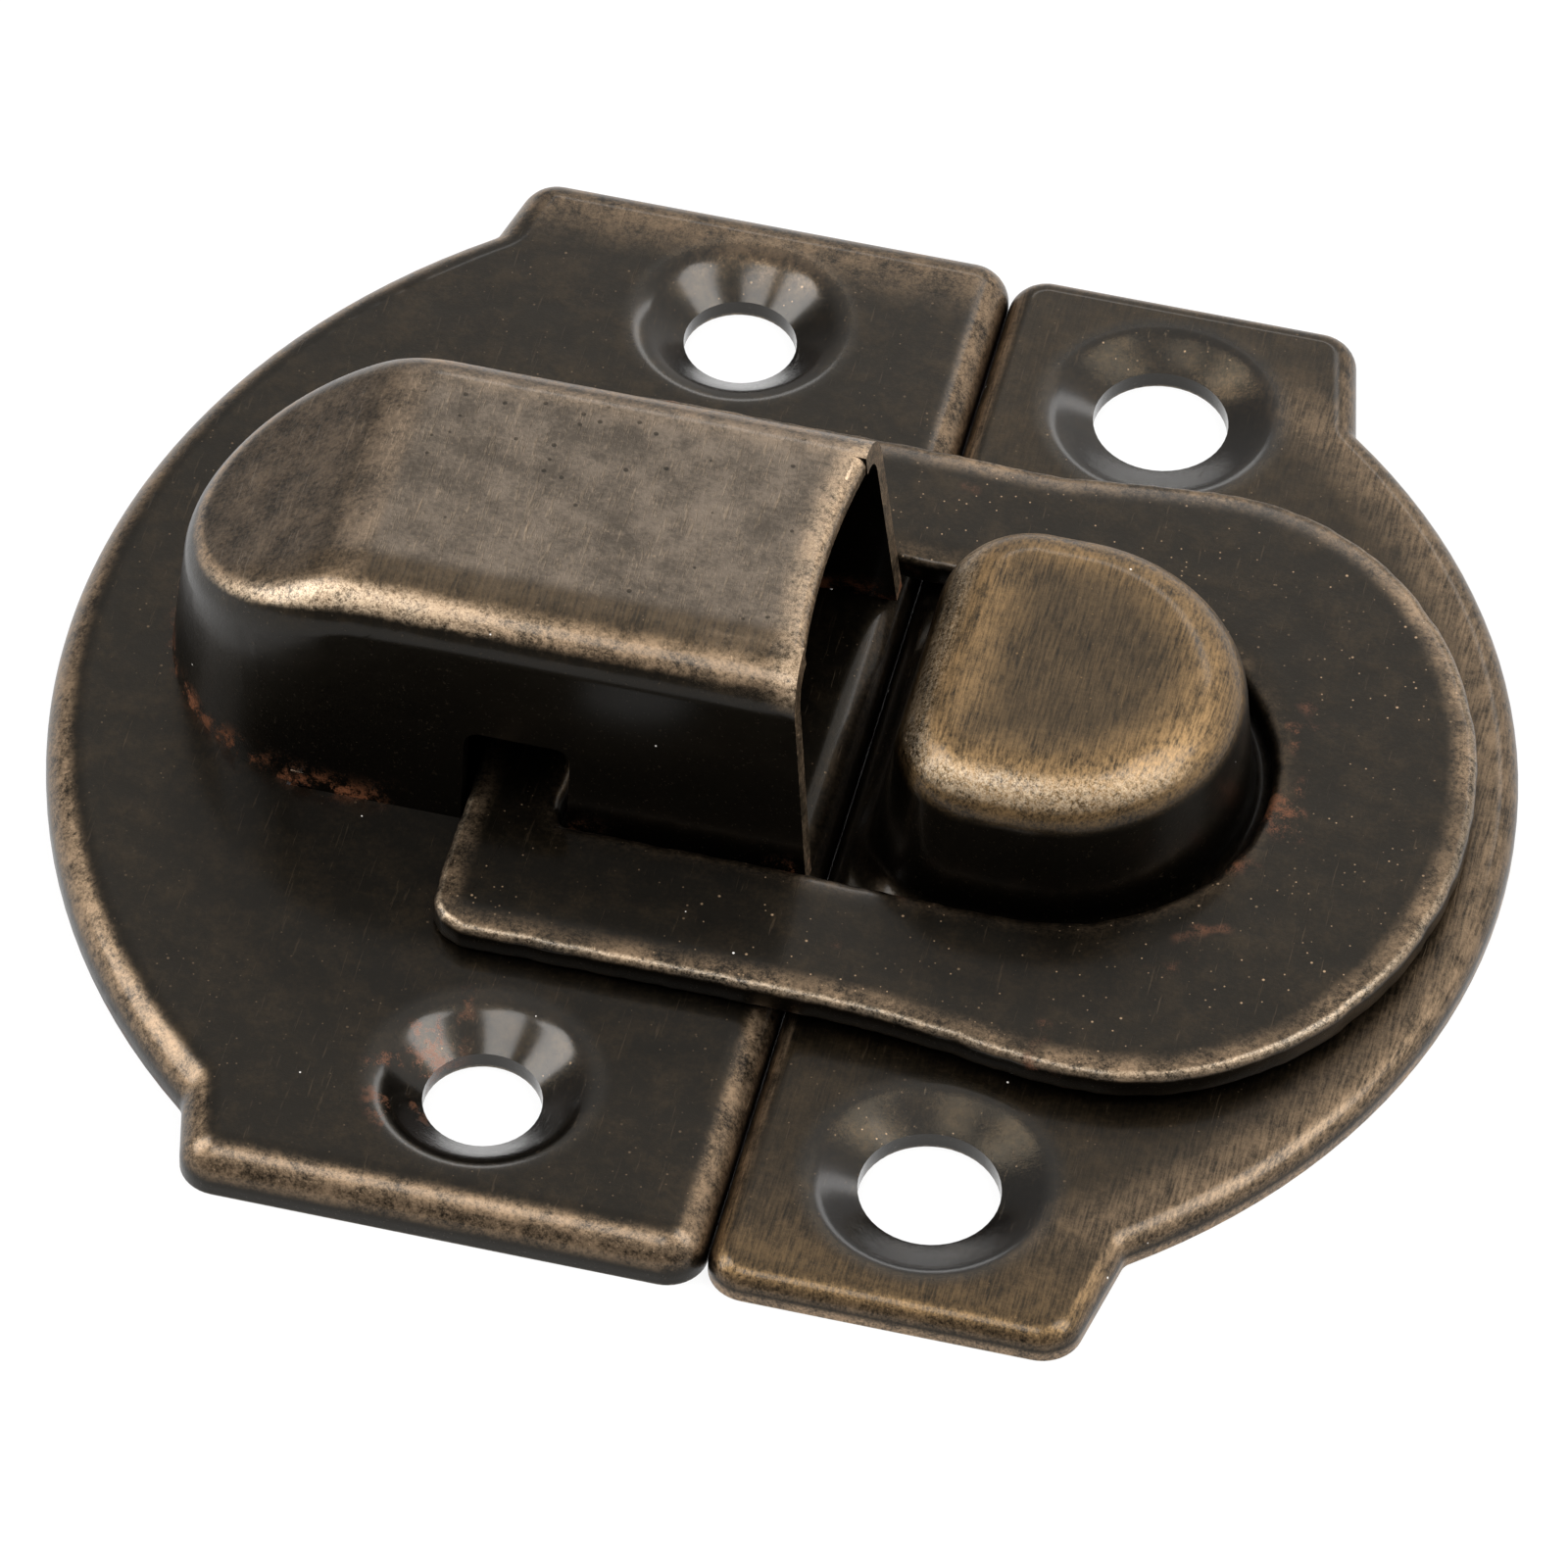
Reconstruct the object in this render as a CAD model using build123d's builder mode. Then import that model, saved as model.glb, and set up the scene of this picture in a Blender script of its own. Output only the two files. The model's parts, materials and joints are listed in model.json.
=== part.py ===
"""Box hasp of stamped sheet steel: a sprung ring on the lid half closes over a boss on the box half."""
import os
from math import acos, degrees, radians, sin, sqrt, tan

from build123d import *

# Overall layout: X runs across the seam between lid and box, Y along it, Z away from the box front
overall_length = 46.4
overall_width = 44.0
hood_plate_length = 25.8
seam_gap = 0.02

# Both plates: dished sheets with a turned-down rim and ears
plate_sheet = 0.6
ear_corner = 1.3
ear_foot_round = 0.5

# Plate of the lid half
hood_plate_height = 1.6
hood_rim_round = 1.3
hood_plate_radius = 25.1
hood_ear_width = 16.3
hood_ear_splay = 0.7

# Plate of the box half, lower, with a broad sloping rim on its round side
catch_plate_height = 1.1
catch_rim_round = 0.85
catch_plate_radius = 23.0
catch_ear_width = 11.4
catch_ear_splay = 0.85
slope_width = 3.2
slope_drop = 0.5

# Dimpled screw holes
hole_from_ear_end = 5.25
hood_hole_diameter = 3.7
hood_hole_from_seam = 8.1
hood_dimple_depth = 1.0
catch_hole_diameter = 4.4
catch_hole_from_seam = 5.95
catch_dimple_depth = 0.5
dimple_margin = 1.4
dimple_round = 1.4

# Hood: drawn cap with tapered walls, a roof that falls away at the back and an open front
hood_sheet = 0.7
hood_width = 13.2
hood_height = 8.1
hood_length = 22.0
hood_draft = 6.0
hood_front_setback = 0.35
hood_round = 1.7
roof_slope = 30.0
roof_flat_length = 14.4
roof_bend_radius = 5.0
lip_setback = 0.3
lip_corner_width = 1.6
lip_round = 0.45

# Notches in the hood's side walls
notch_height = 3.6
notch_corner = 0.5
notch_play = 0.15

# Clinch tabs under the hood's walls, bent over behind the hood plate
tab_width = 2.4
tab_sheet = 0.55
tab_foot = 1.3
tab_play = 0.1
tab_from_front = 3.4

# Hasp: flat ring with a rear bar, two arms and a round head
hasp_sheet = 1.0
hasp_arm_span = 23.8
hasp_head_span = 25.2
hasp_reach = 30.6
hasp_rear_from_seam = 11.3
hasp_bar = 3.0
hasp_rear_corner = 1.5
hasp_opening_corner = 0.4
hasp_seat_gap = 0.08
hasp_bend = 0.6
hood_side_clearance = 0.25
neck_length = 7.0
head_from_seam = 9.4

# Boss on the catch plate
boss_height = 5.9
boss_width = 13.0
boss_length = 11.3
boss_from_seam = 1.1
boss_draft = 6.0
boss_corner = 3.0
boss_round = 2.0
boss_foot_round = 1.0
boss_clearance = 0.5

# Leaf spring
spring_sheet = 0.3
spring_width = 7.6
spring_belly = 4.0
spring_foot = 1.4
spring_lean = 20.0
spring_bend_radius = 0.8
spring_gap = 0.05

# Places on the plates
half_width = overall_width / 2
seam_x = hood_plate_length - overall_length / 2
hood_edge_x = seam_x - seam_gap / 2
catch_edge_x = seam_x + seam_gap / 2
catch_arc_x = overall_length / 2 - catch_plate_radius
hole_spacing = overall_width - 2 * hole_from_ear_end
hood_hole_x = seam_x - hood_hole_from_seam
catch_hole_x = seam_x + catch_hole_from_seam

# Places on the hood
roof_z = hood_plate_height + hood_height
hood_front_x = hood_edge_x - hood_front_setback
hood_round_x = hood_front_x - hood_length + hood_width / 2
roof_bend_x = hood_front_x - roof_flat_length
roof_front_x = hood_front_x - hood_height * tan(radians(hood_draft))
lip_x = roof_front_x - lip_setback
lip_half = hood_width / 2 - (hood_front_x - roof_front_x) - lip_corner_width

# Places on the hasp, whose rear edge is the hinge
hasp_rear_x = seam_x - hasp_rear_from_seam
hasp_tip_x = hasp_rear_x + hasp_reach
bar_x = hasp_rear_x + hasp_bar
pivot_x = hasp_rear_x + hasp_sheet / 2
pivot_z = hood_plate_height + hasp_seat_gap + hasp_sheet / 2
opening_half = hood_width / 2 + hood_side_clearance
head_x = seam_x + head_from_seam

# Places on the boss and the ring that closes round it
boss_x = seam_x + boss_from_seam
boss_round_x = boss_x + boss_length - boss_width / 2
ring_round_x = boss_x + boss_length + boss_clearance - opening_half

# Places on the clinch tabs
tab_outer_y = hood_width / 2 - tab_play
tab_inner_y = tab_outer_y - tab_sheet
tab_low_z = hood_plate_height - plate_sheet - tab_play - tab_sheet
tab_top_z = hood_plate_height + tab_sheet
tab_places = (hood_round_x, hood_front_x - tab_from_front)

# Places on the spring, between the hasp's bar and the hood's roof
spring_x = (hasp_rear_x + bar_x) / 2
belly_z = pivot_z + (hasp_sheet + spring_sheet) / 2 + spring_gap
foot_z = roof_z - hood_sheet - spring_sheet / 2 - spring_gap
leg_run = (foot_z - belly_z) * tan(radians(spring_lean))

# Longer than any piece, for cuts that go right through, and the closeness that picks an edge by its place
through = overall_length + overall_width
close = 1e-4


def plate_outline(side, edge_x, radius, ear_width, ear_splay):
    """Seam edge, two splayed ears and an arc, on one side of the seam: -1 for the lid, 1 for the box."""
    tip_x = side * overall_length / 2
    ear_x = seam_x + side * ear_width
    foot_x = ear_x + side * ear_splay
    foot_y = sqrt(radius**2 - (foot_x - tip_x + side * radius) ** 2)
    with BuildSketch() as outline:
        with BuildLine():
            Polyline((edge_x, 0), (edge_x, half_width), (ear_x, half_width), (foot_x, foot_y))
            RadiusArc((foot_x, foot_y), (tip_x, 0), side * radius)
            mirror(about=Plane.XZ)
        make_face()
        fillet(outline.vertices().filter_by(lambda v: abs(abs(v.Y) - half_width) < close), ear_corner)
        fillet(outline.vertices().filter_by(lambda v: abs(abs(v.Y) - foot_y) < close), ear_foot_round)
    return outline.sketch


def pan(outline, inset, height, edge_round):
    """Block of a plate's outline with a rounded top edge: the sheet's outside, or the hollow behind it."""
    with BuildPart() as block:
        with BuildSketch():
            add(outline)
            if inset:
                offset(amount=-inset, mode=Mode.REPLACE)
        extrude(amount=height, dir=(0, 0, 1))
        fillet(block.faces().sort_by(Axis.Z)[-1].edges(), edge_round)
    return block.part


def dimples(hole_x, hole_radius, top_z, depth):
    """Pair of funnels that a stamped countersink presses into a surface at top_z."""
    with BuildPart() as funnels:
        with Locations(*[(hole_x, side * hole_spacing / 2, top_z - depth) for side in (-1, 1)]):
            on_base = (Align.CENTER, Align.CENTER, Align.MIN)
            Cone(hole_radius, hole_radius + dimple_margin, depth, align=on_base)
    return funnels.part


def dimple_mouths(plate, hole_radius, top_z):
    """Edges where the funnels break the plate's top face."""
    on_top = plate.edges().filter_by_position(Axis.Z, top_z - close, top_z + close)
    mouth = hole_radius + dimple_margin
    return on_top.filter_by(GeomType.CIRCLE).filter_by(lambda e: abs(e.radius - mouth) < close)


def screw_holes(hole_x, hole_radius):
    """Pair of straight holes through the middle of the dimples."""
    with BuildPart() as holes:
        with Locations(*[(hole_x, side * hole_spacing / 2, 0) for side in (-1, 1)]):
            Cylinder(hole_radius, through)
    return holes.part


def arc_slope(flat_z):
    """Ring wedge above the catch plate's sloping rim, tangent to the flat at its inner edge."""
    sweep = degrees(acos((seam_x + catch_ear_width + catch_ear_splay - catch_arc_x) / catch_plate_radius))
    axis = Axis((catch_arc_x, 0, 0), (0, 0, 1))
    start = Plane((catch_arc_x, 0, 0), x_dir=(1, 0, 0), z_dir=(0, -1, 0)).rotated((0, -sweep, 0))
    inner = catch_plate_radius - slope_width
    outer = catch_plate_radius + slope_width
    with BuildPart() as wedge:
        with BuildSketch(start):
            with BuildLine():
                low_z = flat_z - slope_drop
                slope = TangentArc((inner, flat_z), (catch_plate_radius, low_z), tangent=(1, 0))
                Polyline(slope @ 1, (outer, low_z), (outer, 2 * flat_z), (inner, 2 * flat_z), slope @ 0)
            make_face()
        revolve(axis=axis, revolution_arc=2 * sweep)
    return wedge.part


def drafted(flat_x, round_x, half, foot_z, height, draft, corner):
    """D-shaped block whose walls lean inwards by the draft, with its flat side at flat_x."""
    side = 1 if round_x > flat_x else -1
    with BuildPart() as block:
        for z, lean in ((foot_z, 0), (foot_z + height, height * tan(radians(draft)))):
            flat = flat_x + side * lean
            y = side * (half - lean)
            with BuildSketch(Plane.XY.offset(z)) as level:
                with BuildLine():
                    nose = CenterArc((round_x, 0), half - lean, -90 * side, 180)
                    Polyline(nose @ 1, (flat, y), (flat, -y), nose @ 0)
                make_face()
                if corner:
                    fillet(level.vertices().filter_by(lambda v: abs(v.X - flat) < close), corner)
        loft(ruled=True)
    return block.part


def boss_block(inset, foot_z, edge_round):
    """Boss's outside, or the hollow behind it."""
    half = boss_width / 2 - inset
    corner = boss_corner - inset
    with BuildPart() as block:
        add(drafted(boss_x + inset, boss_round_x, half, foot_z, boss_height, boss_draft, corner))
        fillet(block.faces().sort_by(Axis.Z)[-1].edges(), edge_round)
    return block.part


def boss_foot(plate, foot_z):
    """Edges where the boss rises out of a plate's flat."""
    flat = plate.edges().filter_by_position(Axis.Z, foot_z - close, foot_z + close)
    within = boss_width / 2 + boss_clearance
    near = flat.filter_by_position(Axis.Y, -within, within)
    return near.filter_by_position(Axis.X, boss_x - plate_sheet / 2, boss_x + boss_length + plate_sheet / 2)


def hood_block(inset, front_x, edge_round):
    """Solid of the hood: tapered U-shaped walls under a roof that bends down to the back."""
    half = hood_width / 2 - inset
    top_z = roof_z - inset
    with BuildPart() as block:
        add(drafted(front_x, hood_round_x, half, hood_plate_height, hood_height, hood_draft, 0))
        with BuildSketch(Plane.XZ):
            with BuildLine():
                bend = CenterArc((roof_bend_x, top_z - roof_bend_radius), roof_bend_radius, 90, roof_slope)
                fall = Line(bend @ 1, bend @ 1 + (bend % 1) * hood_length)
                far = front_x + roof_bend_radius
                Polyline(fall @ 1, fall @ 1 + (0, through), (far, through), (far, top_z), bend @ 0)
            make_face()
        extrude(amount=half, both=True, mode=Mode.SUBTRACT)
        roof = block.faces().filter_by(lambda f: f.normal_at().Z > sin(radians(45)))
        rim = roof.edges().filter_by(lambda e: len(roof.filter_by(lambda f: e in f.edges())) == 1)
        fillet(rim.filter_by(lambda e: abs(e.center().X - front_x) > edge_round), edge_round)
    return block.part


# Hood plate
hood_hole = hood_hole_diameter / 2
hood_outline = plate_outline(-1, hood_edge_x, hood_plate_radius, hood_ear_width, hood_ear_splay)
hood_back_z = hood_plate_height - plate_sheet
with BuildPart() as hood_plate_back:
    add(pan(hood_outline, plate_sheet, hood_back_z, hood_rim_round - plate_sheet))
    add(dimples(hood_hole_x, hood_hole, hood_back_z, hood_dimple_depth), mode=Mode.SUBTRACT)

with BuildPart() as hood_plate:
    add(pan(hood_outline, 0, hood_plate_height, hood_rim_round))
    add(dimples(hood_hole_x, hood_hole, hood_plate_height, hood_dimple_depth), mode=Mode.SUBTRACT)
    fillet(dimple_mouths(hood_plate, hood_hole, hood_plate_height), dimple_round)
    add(hood_plate_back.part, mode=Mode.SUBTRACT)
    add(screw_holes(hood_hole_x, hood_hole), mode=Mode.SUBTRACT)
    with BuildSketch():
        tab_y = (tab_outer_y + tab_inner_y) / 2
        with Locations(*[(x, side * tab_y) for x in tab_places for side in (-1, 1)]):
            Rectangle(tab_width + 2 * tab_play, tab_sheet + 2 * tab_play)
    extrude(amount=hood_plate_height, mode=Mode.SUBTRACT)
hood_plate.part.label = "hood_plate"

# Hood
with BuildPart() as hood:
    add(hood_block(0, hood_front_x, hood_round))
    with BuildSketch(Plane.XY.offset(roof_z)):
        with BuildLine():
            arch = ThreePointArc((roof_front_x, -lip_half), (lip_x, 0), (roof_front_x, lip_half))
            Polyline(arch @ 1, (hood_front_x, lip_half), (hood_front_x, -lip_half), arch @ 0)
        make_face()
    extrude(amount=-hood_round, mode=Mode.SUBTRACT)
    roof_edges = hood.edges().filter_by_position(Axis.Z, roof_z - close, roof_z + close)
    fillet(roof_edges.filter_by(GeomType.CIRCLE).sort_by(Axis.X)[-1], lip_round)
    add(hood_block(hood_sheet, hood_front_x + hood_sheet, hood_round - hood_sheet), mode=Mode.SUBTRACT)
    with BuildSketch(Plane.XZ) as notch:
        with Locations((hasp_rear_x - notch_play, hood_plate_height)):
            Rectangle(hasp_bar + hasp_opening_corner, notch_height, align=(Align.MIN, Align.MIN))
        fillet(notch.vertices().group_by(Axis.Y)[-1], notch_corner)
    extrude(amount=hood_width, both=True, mode=Mode.SUBTRACT)
    for x in tab_places:
        with BuildSketch(Plane.YZ.offset(x - tab_width / 2)) as tab:
            with BuildLine():
                foot_y = tab_inner_y - tab_foot
                Polyline((tab_outer_y, tab_top_z), (tab_outer_y, tab_low_z), (foot_y, tab_low_z),
                         (foot_y, tab_low_z + tab_sheet), (tab_inner_y, tab_low_z + tab_sheet),
                         (tab_inner_y, tab_top_z), close=True)
            make_face()
            mirror(about=Plane.YZ)
        extrude(amount=tab_width, dir=(1, 0, 0))
hood.part.label = "hood"

# Hasp
with BuildPart() as hasp:
    with BuildSketch() as plan:
        with BuildLine():
            arm_half = hasp_arm_span / 2
            head_half = hasp_head_span / 2
            rear = Polyline((hasp_rear_x, 0), (hasp_rear_x, arm_half), (head_x - neck_length, arm_half))
            Spline(rear @ 1, (head_x, head_half), tangents=((1, 0), (1, 0)))
            EllipticalCenterArc((head_x, 0), hasp_tip_x - head_x, head_half, start_angle=0, arc_size=90)
            mirror(about=Plane.XZ)
        make_face()
        rear_ends = plan.vertices().group_by(Axis.X)[0]
        fillet(rear_ends.filter_by(lambda v: abs(v.Y) > opening_half), hasp_rear_corner)
        with BuildLine():
            ring = Polyline((ring_round_x, opening_half), (bar_x, opening_half),
                            (bar_x, -opening_half), (ring_round_x, -opening_half))
            RadiusArc(ring @ 1, ring @ 0, -opening_half)
        make_face(mode=Mode.SUBTRACT)
        fillet(plan.vertices().filter_by(lambda v: abs(v.X - bar_x) < close), hasp_opening_corner)
    extrude(amount=through, dir=(0, 0, 1))
    with BuildSketch(Plane.XZ):
        with BuildLine():
            top = Line((pivot_x, pivot_z + hasp_sheet / 2), (seam_x, pivot_z + hasp_sheet / 2))
            drop = PolarLine(top @ 1, hasp_reach, -hasp_bend)
            end = PolarLine(drop @ 1, hasp_sheet, -90 - hasp_bend)
            back = PolarLine(end @ 1, hasp_reach, 180 - hasp_bend)
            Line(back @ 1, (pivot_x, pivot_z - hasp_sheet / 2))
            CenterArc((pivot_x, pivot_z), hasp_sheet / 2, 90, 180)
        make_face()
    extrude(amount=through, both=True, mode=Mode.INTERSECT)
hasp.part.label = "hasp"

# Leaf spring
with BuildPart() as leaf_spring:
    with BuildSketch(Plane.XZ):
        with BuildLine():
            knee = spring_belly / 2
            heel = knee + leg_run
            toe = heel + spring_foot
            FilletPolyline((spring_x - toe, foot_z), (spring_x - heel, foot_z), (spring_x - knee, belly_z),
                           (spring_x + knee, belly_z), (spring_x + heel, foot_z), (spring_x + toe, foot_z),
                           radius=spring_bend_radius)
        trace(line_width=spring_sheet)
    extrude(amount=spring_width / 2, both=True)
leaf_spring.part.label = "leaf_spring"

# Catch plate
catch_hole = catch_hole_diameter / 2
catch_outline = plate_outline(1, catch_edge_x, catch_plate_radius, catch_ear_width, catch_ear_splay)
catch_back_z = catch_plate_height - plate_sheet
with BuildPart() as catch_plate_back:
    add(pan(catch_outline, plate_sheet, catch_back_z, catch_rim_round - plate_sheet))
    add(arc_slope(catch_back_z), mode=Mode.SUBTRACT)
    add(boss_block(plate_sheet, catch_back_z, boss_round - plate_sheet))
    fillet(boss_foot(catch_plate_back, catch_back_z), boss_foot_round + plate_sheet)
    add(dimples(catch_hole_x, catch_hole, catch_back_z, catch_dimple_depth), mode=Mode.SUBTRACT)

with BuildPart() as catch_plate:
    add(pan(catch_outline, 0, catch_plate_height, catch_rim_round))
    add(arc_slope(catch_plate_height), mode=Mode.SUBTRACT)
    add(boss_block(0, catch_plate_height, boss_round))
    fillet(boss_foot(catch_plate, catch_plate_height), boss_foot_round)
    add(dimples(catch_hole_x, catch_hole, catch_plate_height, catch_dimple_depth), mode=Mode.SUBTRACT)
    fillet(dimple_mouths(catch_plate, catch_hole, catch_plate_height), dimple_round)
    add(catch_plate_back.part, mode=Mode.SUBTRACT)
    add(screw_holes(catch_hole_x, catch_hole), mode=Mode.SUBTRACT)
catch_plate.part.label = "catch_plate"

os.makedirs("parts", exist_ok=True)
for piece in (hood_plate, hood, hasp, leaf_spring, catch_plate):
    export_step(piece.part, f"parts/{piece.part.label}.step")
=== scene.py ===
"""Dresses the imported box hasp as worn, brushed and lightly rusted antique-bronze plating, on a pale stage."""

import functools
import json
import math

import bmesh
import bpy
import numpy as np
from bpy.props import FloatProperty, FloatVectorProperty, PointerProperty
from mathutils import Matrix, Vector

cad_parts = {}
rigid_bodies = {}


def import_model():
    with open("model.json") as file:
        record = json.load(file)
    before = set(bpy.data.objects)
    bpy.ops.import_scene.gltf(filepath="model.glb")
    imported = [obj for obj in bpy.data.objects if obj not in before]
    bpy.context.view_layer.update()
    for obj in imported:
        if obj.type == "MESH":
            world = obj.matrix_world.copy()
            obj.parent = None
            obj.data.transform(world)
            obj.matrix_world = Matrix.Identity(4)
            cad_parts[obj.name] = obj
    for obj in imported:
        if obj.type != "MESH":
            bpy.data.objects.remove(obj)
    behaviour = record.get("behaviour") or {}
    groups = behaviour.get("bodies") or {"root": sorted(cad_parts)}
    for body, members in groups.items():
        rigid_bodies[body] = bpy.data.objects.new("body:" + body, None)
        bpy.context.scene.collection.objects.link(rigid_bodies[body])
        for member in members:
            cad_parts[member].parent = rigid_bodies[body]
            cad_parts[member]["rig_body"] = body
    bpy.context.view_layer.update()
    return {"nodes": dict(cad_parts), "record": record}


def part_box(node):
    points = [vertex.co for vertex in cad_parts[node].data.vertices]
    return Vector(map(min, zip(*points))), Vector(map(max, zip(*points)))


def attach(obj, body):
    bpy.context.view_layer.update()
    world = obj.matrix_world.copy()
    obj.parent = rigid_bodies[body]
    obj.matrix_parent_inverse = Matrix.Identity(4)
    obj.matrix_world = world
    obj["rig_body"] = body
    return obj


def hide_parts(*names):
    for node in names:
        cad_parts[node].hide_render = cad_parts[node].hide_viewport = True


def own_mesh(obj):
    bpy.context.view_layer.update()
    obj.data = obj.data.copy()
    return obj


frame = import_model()

bl_info = {
    "name": "Box Hasp",
    "version": (1, 0, 0),
    "blender": (4, 5, 0),
    "location": "View3D > Sidebar > Box Hasp",
    "description": "Worn antique-bronze finishes and stage for a sprung box hasp",
    "category": "Object",
}

MM = 0.001

# Copies of the CAD nodes, in millimetres and degrees
MERGE_DISTANCE = 0.0005
FLAT_ANGLE = 0.2
SHARP_ANGLE = 32
BEVEL_ANGLE = 40
BEVEL_SEGMENTS = 3
HOOD_EDGE_ROUND = 0.12
SPRING_EDGE_ROUND = 0.05

# The ring's mesh and its stamped edge, in millimetres
RING_STEPS = 40
EDGE_STEPS = 7
EDGE_CREST = 0.32
EDGE_ROLL_WIDTH = 1.15
EDGE_ROLL_DEPTH = 0.07
EDGE_FOOT = 0.12
# Share of the foot at which its turn has a point between its ends
FOOT_TURN = 0.3
# How strongly the outer edge and the opening's edge are rubbed
OUTER_RUB = 1.0
INNER_RUB = 0.45
# Waves of the ring's cut edge: reach in millimetres, radians per millimetre and shift in radians
EDGE_WAVES = ((0.030, 0.9, 0.0), (0.022, 2.3, 1.0), (0.018, 5.1, 2.0))

# Noise in the metal: features per millimetre, detail and roughness
CLOUD = (0.22, 5.0, 0.6)
PATCH = (0.9, 5.0, 0.65)
GRAIN = (6.0, 5.0, 0.7)
FINE = (18.0, 3.0, 0.6)
BRUSHING = (1.0, 3.0, 0.7)
SCRATCHING = (1.0, 3.0, 0.6)
DENTS = (0.45, 2.0, 0.5)
BARE_AREAS = (0.35, 3.0, 0.6)
RUST_GRAIN = (1.3, 6.0, 0.7)
SEAM_RUST = (0.16, 2.0, 0.5)
DIMPLE_RUST = (0.55, 3.0, 0.6)
RING_RUST = (0.2, 3.0, 0.6)
SPRING_RUST = (0.6, 4.0, 0.6)
# Lines drawn on the metal: turn in degrees, then features per millimetre across and along
STROKES = (4.0, 11.0, 0.75)
SCRATCHES = ((23.0, 6.0, 0.45), (-52.0, 6.5, 0.5), (81.0, 7.0, 0.4))
HAIRLINES = ((37.0, 9.0, 1.3), (-28.0, 9.0, 1.1), (-75.0, 10.0, 1.4))
# Noise levels at which such lines begin and are full
SCRATCH_CUT = (0.66, 0.74)
HAIRLINE_CUT = (0.57, 0.70)
# Dots on the metal: cells per millimetre, radius in millimetres and share of the cells
PITS = (1.6, 0.10, 0.35)
COARSE_FLECKS = (2.3, 0.055, 0.22)
FINE_FLECKS = (4.1, 0.035, 0.40)
DUST = (1.1, 0.045, 0.07)
# Share of a dot's radius that is full, and softness of the choice of cells
DOT_CORE = 0.6
PICK_SOFT = 0.02
EDGE_SAMPLES = 6
HOLLOW_SAMPLES = 8
COAT_ROUGHNESS = 0.16
# Depth of the fine relief, in millimetres
RELIEF_DEPTH = 0.016

# Places where finishes begin and end, in millimetres
DIMPLE_MOUTH = 2.2
DIMPLE_WALL = 1.5
CUT_EDGE_Z = (0.4, 0.1)
HEM_Z = (0.50, 0.15)
BOSS_Z = (3.0, 5.5)
RING_INSIDE_Y = (8.4, 7.2)
RIM_SLOPE_Y = (20.0, 16.5)
LID_NEAR_Y = (-10.0, -14.0)
ROOF_FAR_Y = (3.4, 5.4)
# Middle, half width and softness of the brown band along the roof's near edge
ROOF_BAND_Y = (-4.5, 0.6, 0.7)
# Next two: the span of x over which the hood's near edge is rubbed less towards the right, and the span over
# which its painted highlight grows towards the left
NEAR_EDGE_X = (-12.0, 0.0)
NEAR_HIGHLIGHT_X = (-4.0, -15.0)
# Dish that the relief adds to the catch plate's dimples: ends past the hole's edge, and its height as a
# multiple of the relief's depth
DISH_FOOT = -0.3
DISH_MOUTH = 2.0
DISH_RELIEF = 30.0

# How far each place is rubbed through to brass, from 0 to 1
LID_RIM_WEAR = 0.56
LID_FAR_WEAR = 0.34
BOX_RIM_WEAR = 0.46
BOX_SLOPE_WEAR = 0.38
BOX_HEM_WEAR = 0.8
BOX_EAR_WEAR = 0.17
BOSS_MARGIN_WEAR = 0.62
HOOD_EDGE_WEAR = 0.75
HOOD_FAR_WEAR = 0.45
HOOD_FOLD_WEAR = 0.28
# How far each place is painted bright, from 0 to 1: painted highlights on the boss, the hood's near edge
# and the ring's crest, and pale lines on the plates' cut edges and the hood's lip
CUT_EDGE_SHINE = 0.5
BOSS_SHOULDER_HIGHLIGHT = 0.45
HOOD_EDGE_HIGHLIGHT = 0.45
HOOD_LIP_SHINE = 0.30
RING_CREST_HIGHLIGHT = 0.22

# Stage, in metres: half the floor's side and how far it lies under the part
FLOOR_HALF = 4.0
FLOOR_DROP = 0.02 * MM
# Paint of the floor, and the share of it that glows white to the eye
FLOOR_GREY = 0.88
FLOOR_GLOW = 0.86
# Sensor in millimetres and near limit of the camera in metres
SENSOR_WIDTH = 36.0
CLIP_START = 0.01
# Width and height of each lamp, and its place
KEY_LAMP = ((0.24, 0.16), (-0.08, -0.24, 0.42))
LEFT_LAMP = ((0.20, 0.36), (-0.34, -0.05, 0.25))
RIGHT_LAMP = ((0.20, 0.36), (0.30, 0.00, 0.32))
STRIP_LAMP = ((0.40, 0.06), (0.05, 0.38, 0.30))
# How much the surround brightens to the right, behind and overhead, and the sum at which it is full
SKY_LEAN = (0.45, 0.40, 0.75)
SKY_FULL = 0.85

# Places read from the frame, in millimetres
HOOD_PLATE = [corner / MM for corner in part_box("hood_plate")]
CATCH_PLATE = [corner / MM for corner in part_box("catch_plate")]
HOOD = [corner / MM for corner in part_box("hood")]
HASP = [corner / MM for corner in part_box("hasp")]
MOUNTS = {mount["name"]: mount for mount in frame["record"]["mounts"]}


def screw_places(name):
    """X of a screw pair, its half spacing and its hole radius, in millimetres."""
    mount = MOUNTS[name]
    return mount["pos_m"][0] / MM, mount["dims"]["spacing_y_mm"] / 2, mount["dims"]["hole_r_mm"]


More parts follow.
